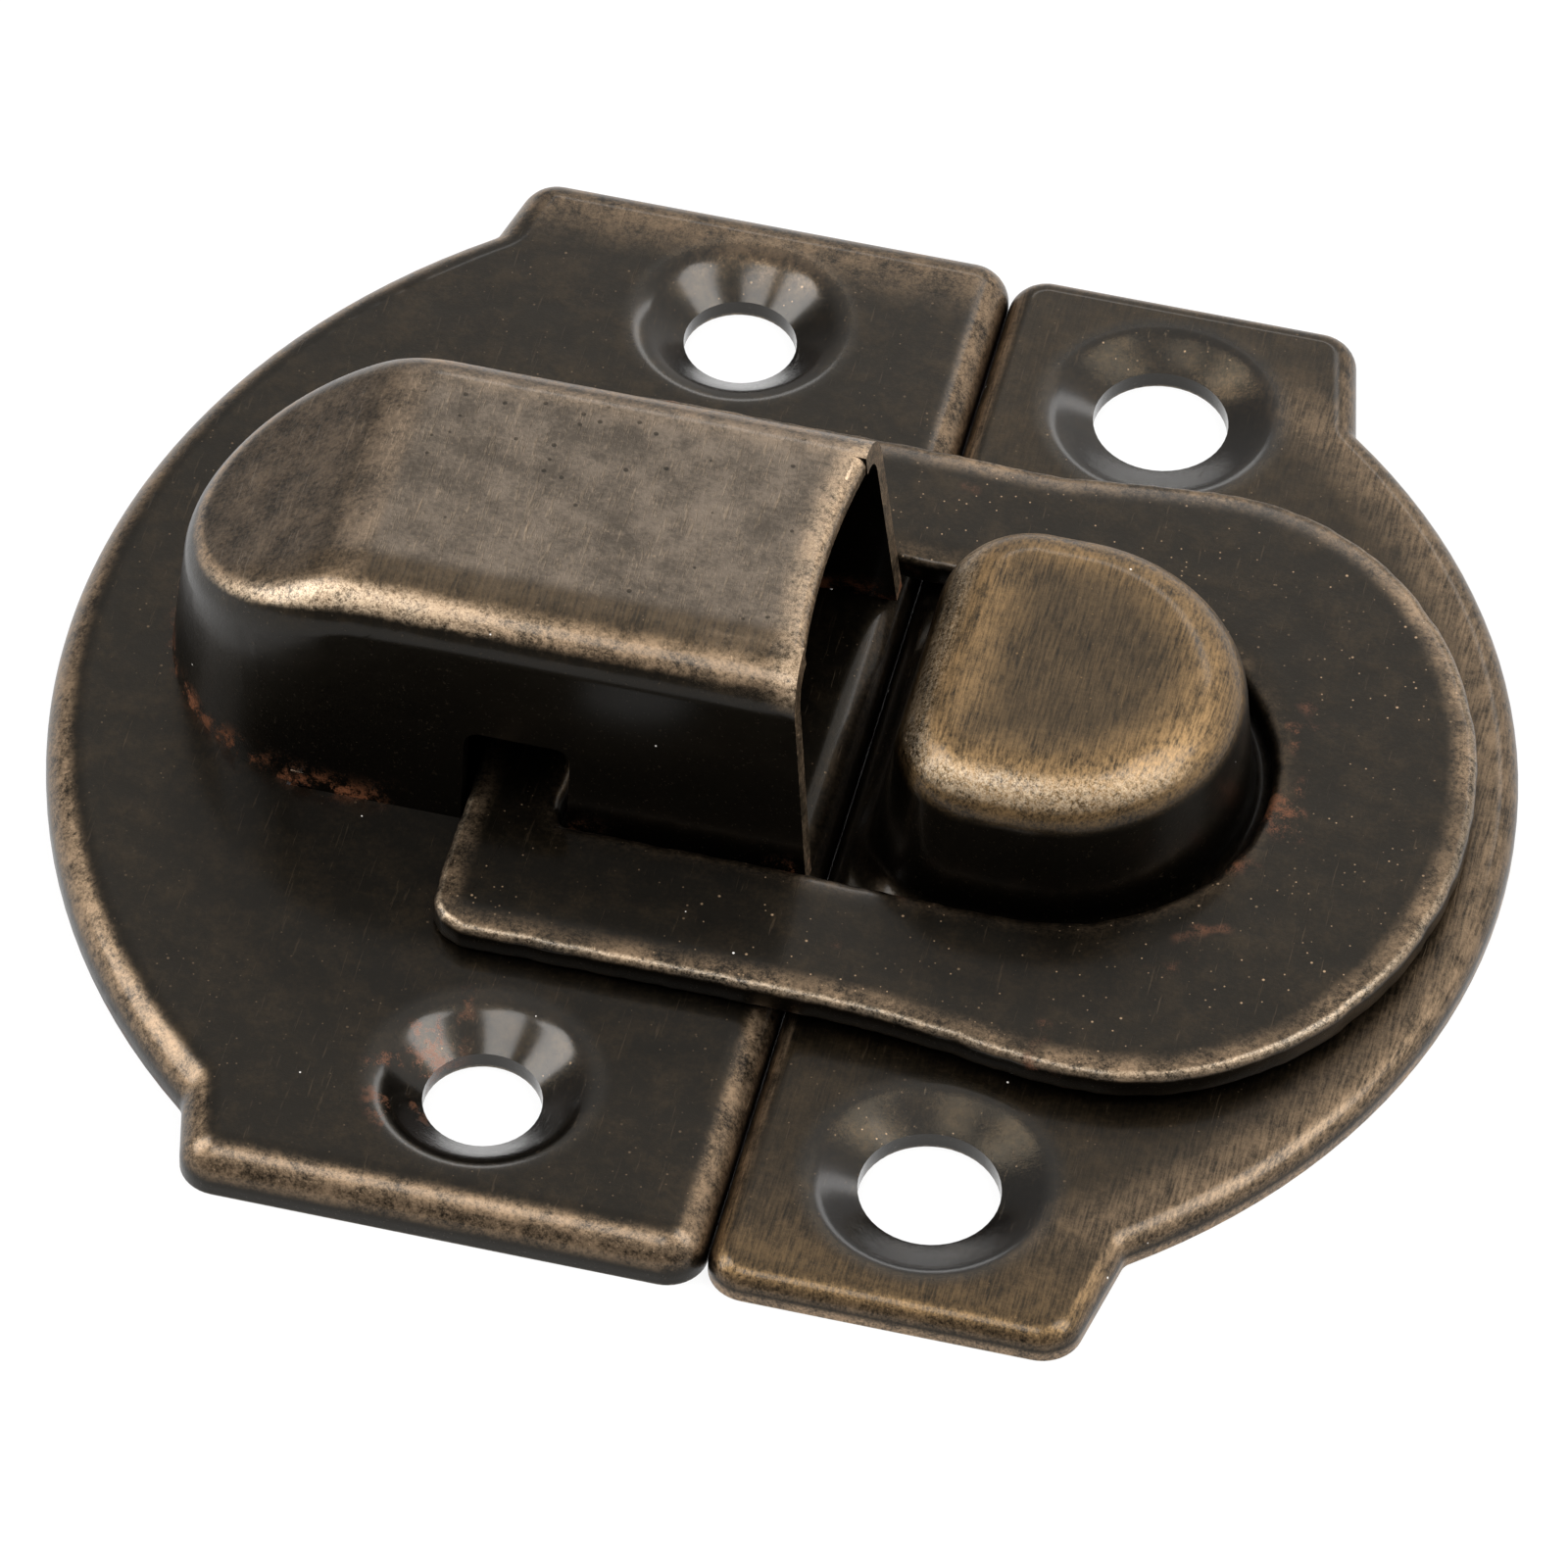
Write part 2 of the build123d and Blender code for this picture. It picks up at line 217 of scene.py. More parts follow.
class Field:
    """A socket of a node tree: operators add Math nodes, and node() adds any other node."""

    def __init__(self, tree, socket=None):
        self.tree = tree
        self.socket = socket

    def node(self, kind, settings=None, sockets=None, out=0):
        """Adds a node, sets its settings, fills or links its sockets and returns the output asked for."""
        made = self.tree.nodes.new(kind)
        for name, value in (settings or {}).items():
            setattr(made, name, value)
        for name, value in (sockets or {}).items():
            if isinstance(value, Field):
                self.tree.links.new(value.socket, made.inputs[name])
            else:
                made.inputs[name].default_value = value
        return Field(self.tree, made.outputs[out] if made.outputs else None)

    def math(self, operation, *values):
        return self.node("ShaderNodeMath", {"operation": operation}, dict(enumerate(values)))

    def __add__(self, other):
        return self.math("ADD", self, other)

    def __sub__(self, other):
        return self.math("SUBTRACT", self, other)

    def __rsub__(self, other):
        return self.math("SUBTRACT", other, self)

    def __mul__(self, other):
        return self.math("MULTIPLY", self, other)

    __radd__ = __add__
    __rmul__ = __mul__

    def size(self):
        return self.math("ABSOLUTE", self)

    def root(self):
        return self.math("SQRT", self)

    def highest(self, other):
        return self.math("MAXIMUM", self, other)

    def step(self, low, high):
        """Smooth rise from 0 at low to 1 at high, or a fall where low is above high."""
        ends = {"Value": self, "From Min": low, "From Max": high}
        return self.node("ShaderNodeMapRange", {"interpolation_type": "SMOOTHSTEP"}, ends)

    def band(self, middle, half, soft):
        """1 within half of the middle, falling to 0 over soft."""
        return (self - middle).size().step(half + soft, half)

    def mix(self, first, second):
        """First colour where this field is 0, second where it is 1."""
        return self.node("ShaderNodeMix", {"data_type": "RGBA"}, {0: self, 6: first, 7: second}, 2)


class Surface:
    """A material in the making: its place in millimetres, its normal and the textures they carry."""

    def __init__(self, name):
        self.material = bpy.data.materials.new(name)
        self.material.use_nodes = True
        self.tree = self.material.node_tree
        self.tree.nodes.clear()
        self.start = Field(self.tree)
        metres = self.start.node("ShaderNodeTexCoord", out="Object")
        self.place = self.start.node(
            "ShaderNodeVectorMath", {"operation": "SCALE"}, {0: metres, "Scale": 1 / MM}
        )
        self.x, self.y, self.z = (
            self.start.node("ShaderNodeSeparateXYZ", sockets={0: self.place}, out=axis) for axis in range(3)
        )
        self.normal = self.start.node("ShaderNodeNewGeometry", out="Normal")
        own_frame = {"vector_type": "NORMAL", "convert_from": "WORLD", "convert_to": "OBJECT"}
        normal = self.start.node("ShaderNodeVectorTransform", own_frame, {0: self.normal})
        self.nx, self.ny, self.nz = (
            self.start.node("ShaderNodeSeparateXYZ", sockets={0: normal}, out=axis) for axis in range(3)
        )

    def mapped(self, turn, across, along):
        """Place turned about Z by degrees and stretched across and along."""
        stretch = (across, along, across)
        sockets = {"Vector": self.place, "Rotation": (0, 0, math.radians(turn)), "Scale": stretch}
        return self.start.node("ShaderNodeMapping", sockets=sockets)

    def noise(self, scale, detail, rough, vector=None):
        """Noise between 0 and 1, with scale in features per millimetre."""
        sockets = {"Vector": vector or self.place, "Scale": scale, "Detail": detail, "Roughness": rough}
        return self.start.node("ShaderNodeTexNoise", sockets=sockets)

    def lines(self, directions, cut):
        """Scratches: noise drawn out along several directions, cut to its crests."""
        drawn = [self.noise(*SCRATCHING, self.mapped(*direction)).step(*cut) for direction in directions]
        return functools.reduce(Field.highest, drawn)

    def specks(self, scale, radius, share):
        """Sparse round dots in the cells of a grid: only a share of the cells has one."""
        cell = {"Vector": self.place, "Scale": scale}
        reach = self.start.node("ShaderNodeTexVoronoi", sockets=cell, out="Distance")
        tint = self.start.node("ShaderNodeTexVoronoi", sockets=cell, out="Color")
        pick = self.start.node("ShaderNodeSeparateColor", sockets={0: tint})
        dots = reach.step(radius * scale, DOT_CORE * radius * scale)
        return dots * pick.step(1 - share, 1 - share + PICK_SOFT)

    def edges(self, radius):
        """Where the surface turns within a radius in millimetres, from the bevelled normal."""
        rounded = self.start.node("ShaderNodeBevel", {"samples": EDGE_SAMPLES}, {"Radius": radius * MM})
        along = self.start.node(
            "ShaderNodeVectorMath", {"operation": "DOT_PRODUCT"}, {0: rounded, 1: self.normal}, "Value"
        )
        return 1 - along

    def hollow(self, distance):
        """1 in corners and seams, 0 in the open."""
        sockets = {"Distance": distance * MM}
        seen = self.start.node("ShaderNodeAmbientOcclusion", {"samples": HOLLOW_SAMPLES}, sockets, "AO")
        return 1 - seen

    def finish(self, colour, roughness, metallic, relief, coat):
        """Joins the fields to one metal shader with a thin clear coat."""
        bump = self.start.node(
            "ShaderNodeBump", sockets={"Height": relief, "Strength": 1.0, "Distance": RELIEF_DEPTH * MM}
        )
        sockets = {
            "Base Color": colour,
            "Roughness": roughness,
            "Metallic": metallic,
            "Normal": bump,
            "Coat Weight": coat,
            "Coat Roughness": COAT_ROUGHNESS,
        }
        shader = self.start.node("ShaderNodeBsdfPrincipled", sockets=sockets)
        self.start.node("ShaderNodeOutputMaterial", sockets={"Surface": shader})
        return self.material


def welded(node, name, edge_round=0):
    """Copy of a CAD node: corners merged, flat faces joined, sharp edges rounded, round faces smooth."""
    source = frame["nodes"][node].data
    mesh = source.copy()
    mesh.name = name
    mesh.materials.clear()
    shape = bmesh.new()
    shape.from_mesh(mesh)
    bmesh.ops.remove_doubles(shape, verts=shape.verts, dist=MERGE_DISTANCE * MM)
    flat = math.radians(FLAT_ANGLE)
    bmesh.ops.dissolve_limit(shape, angle_limit=flat, verts=shape.verts, edges=shape.edges)
    shape.to_mesh(mesh)
    shape.free()
    if mesh.has_custom_normals:
        mesh.attributes.remove(mesh.attributes["custom_normal"])
    mesh.polygons.foreach_set("use_smooth", np.ones(len(mesh.polygons), bool))
    mesh.set_sharp_from_angle(angle=math.radians(SHARP_ANGLE))
    piece = bpy.data.objects.new(name, mesh)
    bpy.context.scene.collection.objects.link(piece)
    if edge_round:
        bevel = piece.modifiers.new("edge_round", "BEVEL")
        bevel.width = edge_round * MM
        bevel.segments = BEVEL_SEGMENTS
        bevel.limit_method = "ANGLE"
        bevel.angle_limit = math.radians(BEVEL_ANGLE)
        bevel.harden_normals = False
    weight = piece.modifiers.new("flat_faces", "WEIGHTED_NORMAL")
    weight.keep_sharp = not edge_round
    return piece


def half_loop(rear, half, corner, neck, head, head_half, tip):
    """Half an outline, in millimetres, from the middle of its rear edge round to its tip.

    It has a straight edge, a quarter circle, a straight arm, a neck that widens as 3t^2 - 2t^3 and a quarter
    ellipse.
    """
    t = np.linspace(0, 1, RING_STEPS, endpoint=False)
    quarter = t * math.pi / 2
    neck_rise = half + (head_half - half) * (3 * t**2 - 2 * t**3)
    stretches = [
        (np.full_like(t, rear), t * (half - corner)),
        (rear + corner * (1 - np.cos(quarter)), half - corner * (1 - np.sin(quarter))),
        (rear + corner + t * (neck - rear - corner), np.full_like(t, half)),
        (neck + t * (head - neck), neck_rise),
        (head + (tip - head) * np.sin(quarter), head_half * np.cos(quarter)),
        (np.array([tip]), np.array([0.0])),
    ]
    return np.concatenate([np.column_stack(stretch) for stretch in stretches])


def closed_loop(half):
    """Both halves of an outline, mirrored about X, with the unit normal to the left of the way round."""
    mirrored = half[-2:0:-1] * (1, -1)
    loop = np.concatenate([half, mirrored])
    along = np.roll(loop, -1, axis=0) - np.roll(loop, 1, axis=0)
    along /= np.linalg.norm(along, axis=1, keepdims=True)
    return loop, np.column_stack([-along[:, 1], along[:, 0]])


def edge_section(sheet):
    """Section of a stamped edge as inset, height and rub.

    It has a small turn at the foot, an upright wall, a quarter round at the crest and a die roll that falls
    as the square of the distance from the flat.
    """
    quarter = np.linspace(0, math.pi / 2, EDGE_STEPS)
    roll = np.linspace(EDGE_CREST, EDGE_ROLL_WIDTH, EDGE_STEPS)[1:]
    upper = np.concatenate([EDGE_CREST * (1 - np.cos(quarter)), roll])
    top = sheet - EDGE_ROLL_DEPTH * ((EDGE_ROLL_WIDTH - upper) / EDGE_ROLL_WIDTH) ** 2
    top[:EDGE_STEPS] -= EDGE_CREST * (1 - np.sin(quarter))
    foot = np.array([0, FOOT_TURN * EDGE_FOOT, EDGE_FOOT])
    inset = np.concatenate([foot[::-1], upper])
    height = np.concatenate([foot, top])
    rub = np.clip((EDGE_ROLL_WIDTH - inset) / (EDGE_ROLL_WIDTH - EDGE_CREST), 0, 1)
    rub[: len(foot)] = 0
    return inset, height, rub


def wandered(loop, left, outward):
    """An outline whose cut edge wanders into the metal by the sum of a few waves along its length."""
    length = np.cumsum(np.linalg.norm(np.diff(loop, axis=0, prepend=loop[:1]), axis=1))
    wander = sum(reach * np.sin(rate * length + shift) for reach, rate, shift in EDGE_WAVES)
    return loop - outward * np.abs(wander)[:, None] * left


def ring_mesh(sizes):
    """Ring between two outlines.

    The edge's section is carried round the outer outline and, turned about, round the opening, and the rows
    between them close over the top and the underside. Past the bend, z falls with x and settles.
    """
    rear, tip = HASP[0].x, HASP[1].x
    arm = sizes.arm_span / MM / 2
    opening = sizes.opening_width / MM / 2
    head = sizes.head_x / MM
    ring_end = sizes.ring_end_x / MM
    neck = head - sizes.neck_length / MM
    outer = half_loop(rear, arm, sizes.rear_corner / MM, neck, head, HASP[1].y, tip)
    inner = half_loop(
        rear + sizes.bar / MM, opening, sizes.opening_corner / MM, neck, ring_end - opening, opening, ring_end
    )
    sheet = sizes.ring_sheet / MM
    inset, height, rub = edge_section(sheet)
    rows, rubs = [], []
    for half, outward, strength in ((outer, 1, OUTER_RUB), (inner, -1, INNER_RUB)):
        loop, left = closed_loop(half)
        order = slice(None, None, outward)
        places = wandered(loop, left, outward)[None] - outward * inset[order, None, None] * left[None]
        lift = np.broadcast_to(height[order, None, None], (*places.shape[:2], 1))
        rows.append(np.concatenate([places, lift], axis=2))
        rubs.append(np.broadcast_to(strength * rub[order, None], places.shape[:2]))
    grid = np.concatenate(rows)
    past = np.maximum(grid[..., 0] - sizes.bend_x / MM, 0)
    fall = (tip - sizes.bend_x / MM) * math.tan(sizes.bend)
    grid[..., 2] += HASP[1].z - sheet - fall * (1 - np.exp(-past / (sizes.bend_settle / MM)))
    return grid_mesh("hasp_ring", grid * MM, np.concatenate(rubs))


def grid_mesh(name, grid, rub):
    """Closed mesh of a grid that wraps both ways, with a rub value at every point."""
    rows, columns = grid.shape[:2]
    index = np.arange(rows * columns).reshape(rows, columns)
    below = np.roll(index, -1, axis=0)
    corners = [index, np.roll(index, -1, axis=1), np.roll(below, -1, axis=1), below]
    faces = np.stack(corners, axis=-1).reshape(-1, 4)
    mesh = bpy.data.meshes.new(name)
    mesh.from_pydata(grid.reshape(-1, 3), [], faces)
    layer = mesh.attributes.new("rub", "FLOAT", "POINT")
    layer.data.foreach_set("value", rub.astype(np.float32).ravel())
    mesh.polygons.foreach_set("use_smooth", np.ones(len(mesh.polygons), bool))
    shape = bmesh.new()
    shape.from_mesh(mesh)
    bmesh.ops.recalc_face_normals(shape, faces=shape.faces)
    shape.to_mesh(mesh)
    shape.free()
    piece = bpy.data.objects.new(name, mesh)
    bpy.context.scene.collection.objects.link(piece)
    return piece


def seat(piece, node, material):
    """Puts a finished piece in its CAD node's place, on its body and in its material slot."""
    piece.data.materials.append(material)
    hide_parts(node)
    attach(piece, frame["nodes"][node]["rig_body"])


class HaspFinish(bpy.types.PropertyGroup):
    """Colours of the plating, of what shows where it has worn, and of the painted highlights."""

    plating: FloatVectorProperty(
        name="Plating", description="Dark antique-bronze plating", subtype="COLOR",
        default=(0.0140, 0.0115, 0.0080),
    )
    olive: FloatVectorProperty(
        name="Olive", description="Thin plating with brass showing through", subtype="COLOR",
        default=(0.152, 0.099, 0.049),
    )
    brass: FloatVectorProperty(
        name="Worn brass", description="Rubbed rims and edges", subtype="COLOR", default=(0.53, 0.37, 0.235)
    )
    gilt: FloatVectorProperty(
        name="Worn gilt", description="Yellower brass on the boss and the ear", subtype="COLOR",
        default=(0.52, 0.325, 0.15),
    )
    # Colour of the painted highlights on the boss, the hood's near edge and the ring's crest, and of the pale
    # cut edges and lip
    pale: FloatVectorProperty(
        name="Bright edge", description="Painted highlights and pale edges", subtype="COLOR",
        default=(0.80, 0.67, 0.50),
    )
    grey: FloatVectorProperty(
        name="Grey bloom", description="Mottled grey film on the hood", subtype="COLOR",
        default=(0.195, 0.157, 0.122),
    )
    film_scratch: FloatVectorProperty(
        name="Film scratch", description="Scratches in the grey film", subtype="COLOR",
        default=(0.36, 0.27, 0.18),
    )
    rust: FloatVectorProperty(
        name="Rust", description="Rust in the seams", subtype="COLOR", default=(0.17, 0.055, 0.018)
    )
    dust: FloatVectorProperty(
        name="Dust", description="Pale specks", subtype="COLOR", default=(0.75, 0.72, 0.68)
    )


class HaspSizes(bpy.types.PropertyGroup):
    """Sizes of the ring's surface, and those that the finishes follow."""

    catch_radius: FloatProperty(
        name="Catch plate radius", description="Radius of the catch plate's round side", unit="LENGTH",
        default=23.0 * MM,
    )
    slope_width: FloatProperty(
        name="Slope width", description="Width of the catch plate's sloping rim", unit="LENGTH",
        default=3.2 * MM,
    )
    ring_sheet: FloatProperty(
        name="Ring sheet", description="Thickness of the ring", unit="LENGTH", default=1.0 * MM
    )
    arm_span: FloatProperty(
        name="Arm span", description="Width across the ring's arms", unit="LENGTH", default=23.8 * MM
    )
    bar: FloatProperty(name="Bar", description="Width of the rear bar", unit="LENGTH", default=3.0 * MM)
    opening_width: FloatProperty(
        name="Opening width", description="Width of the ring's opening", unit="LENGTH", default=13.7 * MM
    )
    rear_corner: FloatProperty(
        name="Rear corner", description="Radius of the ring's rear corners", unit="LENGTH", default=1.5 * MM
    )
    opening_corner: FloatProperty(
        name="Opening corner", description="Radius of the opening's rear corners", unit="LENGTH",
        default=0.4 * MM,
    )
    neck_length: FloatProperty(
        name="Neck length", description="Length over which the arms widen to the head", unit="LENGTH",
        default=7.0 * MM,
    )
    head_x: FloatProperty(
        name="Head", description="X of the widest part of the head", unit="LENGTH", default=12.0 * MM
    )
    ring_end_x: FloatProperty(
        name="Ring end", description="X of the round end of the opening", unit="LENGTH", default=15.5 * MM
    )
    boss_x: FloatProperty(
        name="Boss side", description="X of the boss's flat side", unit="LENGTH", default=3.7 * MM
    )
    boss_end_x: FloatProperty(
        name="Boss end", description="X of the boss's round end", unit="LENGTH", default=15.0 * MM
    )
    boss_width: FloatProperty(
        name="Boss width", description="Width of the boss along the seam", unit="LENGTH", default=13.0 * MM
    )
    bend_x: FloatProperty(
        name="Bend place", description="X of the ring's bend, over the seam", unit="LENGTH", default=2.6 * MM
    )
    bend: FloatProperty(
        name="Bend", description="Fall of the ring past its bend", subtype="ANGLE", default=math.radians(0.6)
    )
    bend_settle: FloatProperty(
        name="Bend settle", description="Length over which the bend flattens out", unit="LENGTH",
        default=3.2 * MM,
    )


class HaspStage(bpy.types.PropertyGroup):
    """Camera and light."""

    azimuth: FloatProperty(
        name="Azimuth", description="Camera's turn round the hasp", subtype="ANGLE",
        default=math.radians(11.86),
    )
    elevation: FloatProperty(
        name="Elevation", description="Camera's height angle", subtype="ANGLE", default=math.radians(48.0)
    )
    roll: FloatProperty(
        name="Roll", description="Camera's lean", subtype="ANGLE", default=math.radians(2.16)
    )
    distance: FloatProperty(
        name="Distance", description="Camera to the middle of the picture", unit="LENGTH", default=0.33982
    )
    lens: FloatProperty(
        name="Lens", description="Focal length on a 36 mm wide sensor", unit="CAMERA", default=247.5
    )
    target: FloatVectorProperty(
        name="Target", description="Point in the middle of the picture", unit="LENGTH",
        default=(0.29 * MM, -1.22 * MM, 0.0),
    )
    key: FloatProperty(name="Key", description="Power of the large overhead lamp", unit="POWER", default=0.7)
    left: FloatProperty(name="Left", description="Power of the lamp on the left", unit="POWER", default=1.5)
    right: FloatProperty(
        name="Right", description="Power of the lamp on the right", unit="POWER", default=1.3
    )
    rim: FloatProperty(name="Rim", description="Power of the strip lamp behind", unit="POWER", default=0.35)
    low_fill: FloatVectorProperty(
        name="Low fill", description="Surrounding light low and on the left", subtype="COLOR",
        default=(0.24, 0.225, 0.21),
    )
    high_fill: FloatVectorProperty(
        name="High fill", description="Surrounding light overhead, behind and on the right", subtype="COLOR",
        default=(0.97, 0.94, 0.90),
    )


def hole_reach(surface, hole_x, hole_y):
    """Distance from the middle of the nearer screw hole, in millimetres."""
    dx = surface.x - hole_x
    dy = surface.y.size() - hole_y
    return (dx * dx + dy * dy).root()


def dimples_of(reach, hole_r):
    """1 inside the screw dimples of a plate."""
    return reach.step(hole_r + DIMPLE_MOUTH, hole_r + DIMPLE_WALL)


def rolled(surface):
    """Upper part of a rounded edge, where rubbing bares the brass: leaning, but not upright."""
    return surface.nz.step(0.985, 0.86) * surface.nz.step(0.12, 0.50)


def cut_edge(surface):
    """1 on the sharp cut edge at a plate's foot."""
    return surface.edges(0.2).step(0.10, 0.4) * surface.z.step(*CUT_EDGE_Z)


def rust_patches(surface):
    """Patches of rust a few millimetres long, with more of them on the near side of the hood's back end."""
    back = surface.x.step(HASP[0].x - 4.0, HASP[0].x - 8.0) * surface.y.step(2.5, 0.0)
    return (surface.noise(*SEAM_RUST) + back * 0.10).step(0.46, 0.56)


def sheltered(surface, sizes):
    """1 on the low metal inside the ring and under the hood's mouth, where nothing rubs."""
    ring_end = sizes.ring_end_x / MM
    low = surface.z.step(HASP[1].z + 1.6, HASP[1].z + 0.4)
    inside = surface.y.size().step(*RING_INSIDE_Y) * surface.x.step(ring_end + 1.0, ring_end)
    return low * inside * surface.x.step(HASP[0].x, HASP[0].x + 1.0)


def boss_margin(surface, sizes):
    """Rises from 0 in the middle of the boss's top to 1 at its D-shaped edge."""
    past = (surface.x - (sizes.boss_end_x - sizes.boss_width / 2) / MM).highest(0.0)
    half = sizes.boss_width / MM / 2
    round_side = (past * past + surface.y * surface.y).root().step(0.42 * half, 0.86 * half)
    flat_side = surface.x.step(sizes.boss_x / MM + 4.2, sizes.boss_x / MM + 1.2)
    return round_side.highest(flat_side)


def opaque(colour):
    """A colour property with its alpha."""
    return (*colour, 1)


def patina(
    surface, finish, wear,
    bright=0.0, brush=0.0, bloom=0.0, rust=0.0, gloss=0.0, gilt=None, fleck=0.22, streaked=False, dish=0.0,
):
    """Plated metal, with masks for where it is rubbed, painted with a highlight or a pale line, brushed thin,
    filmed grey or rusted.
    """
    cloud = surface.noise(*CLOUD)
    patch = surface.noise(*PATCH)
    grain = surface.noise(*GRAIN)
    fine = surface.noise(*FINE)
    strokes = surface.noise(*BRUSHING, surface.mapped(*STROKES))
    scratch = surface.lines(SCRATCHES, SCRATCH_CUT)
    hair = surface.lines(HAIRLINES, HAIRLINE_CUT)
    pits = surface.specks(*PITS)
    dust = surface.specks(*DUST)
    flecks = surface.specks(*COARSE_FLECKS).highest(surface.specks(*FINE_FLECKS)) * surface.nz.step(0.3, 0.9)
    flecks = flecks * (0.15 + 0.85 * surface.noise(*BARE_AREAS).step(0.42, 0.58))
    # Upright walls get none of the olive mottle: painted shade that keeps them darker than the tops
    upright = surface.nz.step(0.55, 0.15)

    mottle = (patch * 0.6 + grain * 0.4).step(0.42, 0.72)
    colour = (mottle * (1 - upright) * 0.14).mix(opaque(finish.plating), opaque(finish.olive))
    thin = brush * (strokes * 0.7 + patch * 0.2 + grain * 0.2).step(0.32, 0.78)
    colour = thin.mix(colour, opaque(finish.olive))
    mist = (cloud * 0.24 + patch * 0.42 + grain * 0.34).step(0.38, 0.63)
    film = bloom * (0.35 + 0.65 * mist) * (1 - 0.8 * pits)
    colour = film.mix(colour, opaque(finish.grey))
    colour = (film * scratch.highest(hair * 0.6) * 0.55).mix(colour, opaque(finish.film_scratch))
    marks = grain * 0.45 + patch * 0.40 + fine * 0.25
    if streaked:
        marks = strokes * 0.42 + patch * 0.30 + grain * 0.22 + fine * 0.15
    worn = marks.step(0.40, 0.70)
    rubbed = (wear * worn).highest(scratch * 0.05).highest(flecks * fleck)
    bare = opaque(finish.brass)
    if gilt:
        bare = gilt.mix(bare, opaque(finish.gilt))
    colour = rubbed.mix(colour, bare)
    # Painted highlights and pale edges, in the bright colour
    pale_and_highlight = bright * (grain * 0.6 + fine * 0.5).step(0.42, 0.70)
    colour = pale_and_highlight.mix(colour, opaque(finish.pale))
    eaten = rust * (surface.noise(*RUST_GRAIN) * 0.7 + fine * 0.3).step(0.47, 0.60)
    colour = eaten.mix(colour, opaque(finish.rust))
    colour = dust.mix(colour, opaque(finish.dust))

    roughness = 0.25 + 0.16 * grain + 0.10 * cloud + 0.12 * rubbed + 0.35 * eaten
    roughness = roughness + 0.2 * dust - 0.16 * gloss + 0.08 * brush
    metallic = (1 - eaten) * (1 - dust)
    relief = grain * 0.6 + fine * 0.25 + strokes * brush * 0.4 - scratch * 0.5 - pits * bloom * 0.8
    relief = relief - hair * bloom * 0.5 + dish
    relief = relief + surface.noise(*DENTS) * 4.0
    coat = (1 - eaten) * (1 - rubbed) * (0.35 + 0.35 * gloss)
    return surface.finish(colour, roughness, metallic, relief, coat)


def hood_plate_finish(finish, sizes):
    """Dark plate: rims rubbed to brass, rust along the back of the hood's foot and beside the near hole."""
    surface = Surface("plate_bronze")
    hole_x, hole_y, hole_r = screw_places("lid_screws")
    dimple = dimples_of(hole_reach(surface, hole_x, hole_y), hole_r)
    roll = rolled(surface) * (1 - dimple) * (1 - 0.85 * sheltered(surface, sizes))
    back = surface.x.step(HASP[0].x + 1.0, HASP[0].x - 2.5)
    seam = surface.hollow(1.2).step(0.30, 0.75)
    rust = seam * back * rust_patches(surface)
    near_left = surface.y.step(*LID_NEAR_Y) * surface.x.step(hole_x - 0.6, hole_x - 1.8)
    stain = dimple * near_left * surface.noise(*DIMPLE_RUST).step(0.50, 0.58)
    rust = rust.highest(stain * 0.55)
    far = surface.y.step(HOOD_PLATE[1].y - 3.6, HOOD_PLATE[1].y - 0.8) * surface.nz.step(0.3, 0.8)
    wear = (roll * LID_RIM_WEAR).highest(far * LID_FAR_WEAR)
    return patina(surface, finish, wear, cut_edge(surface) * CUT_EDGE_SHINE, rust=rust, gloss=dimple)


def catch_plate_finish(finish, sizes):
    """Plate and boss brushed along the seam, with a broad rubbed rim, a rubbed near ear and a painted highlight
    on the boss's near-left top edge.
    """
    surface = Surface("catch_bronze")
    hole_x, hole_y, hole_r = screw_places("box_screws")
    hole = hole_reach(surface, hole_x, hole_y)
    dimple = dimples_of(hole, hole_r)
    radius = sizes.catch_radius / MM
    width = sizes.slope_width / MM
    dx = surface.x - (CATCH_PLATE[1].x - radius)
    reach = (dx * dx + surface.y * surface.y).root()
    lying = surface.nz.step(0.3, 0.8)
    slope = reach.step(radius - 0.9 * width, radius - 0.1 * width) * lying
    slope = slope * surface.y.size().step(*RIM_SLOPE_Y)
    boss = surface.z.step(*BOSS_Z)
    open_air = 1 - 0.9 * sheltered(surface, sizes)
    roll = rolled(surface) * (1 - dimple) * open_air
    ear = surface.y.step(CATCH_PLATE[0].y + 5.5, CATCH_PLATE[0].y + 0.5) * lying * (1 - dimple)
    upright = surface.nz.step(0.35, 0.05) * surface.nz.step(-0.3, -0.1)
    hem = upright * surface.z.step(*HEM_Z) * (1 - dimple)
    margin = boss * boss_margin(surface, sizes)
    wear = (roll * BOX_RIM_WEAR).highest(slope * BOX_SLOPE_WEAR).highest(hem * BOX_HEM_WEAR)
    wear = wear.highest(ear * BOX_EAR_WEAR)
    wear = wear.highest(margin * surface.nz.step(0.5, 0.9) * BOSS_MARGIN_WEAR)
    # Painted highlight on the boss's upper edge where it faces forward and to the left, towards the lamps
    near_left = (0 - surface.ny).highest(0 - surface.nx).step(0.3, 0.6)
    shoulder = boss * surface.nz.band(0.75, 0.12, 0.15) * near_left
    bright = (cut_edge(surface) * CUT_EDGE_SHINE).highest(shoulder * BOSS_SHOULDER_HIGHLIGHT)
    top = surface.nz.step(0.30, 0.70) * (1 - dimple)
    brush = top * open_air * (0.14 + 0.45 * boss + 0.35 * margin + 0.16 * ear)
    dish = hole.step(hole_r + DISH_FOOT, hole_r + DISH_MOUTH) * DISH_RELIEF
    return patina(
        surface, finish, wear, bright, brush, gloss=dimple, gilt=boss.highest(ear), streaked=True, dish=dish
    )


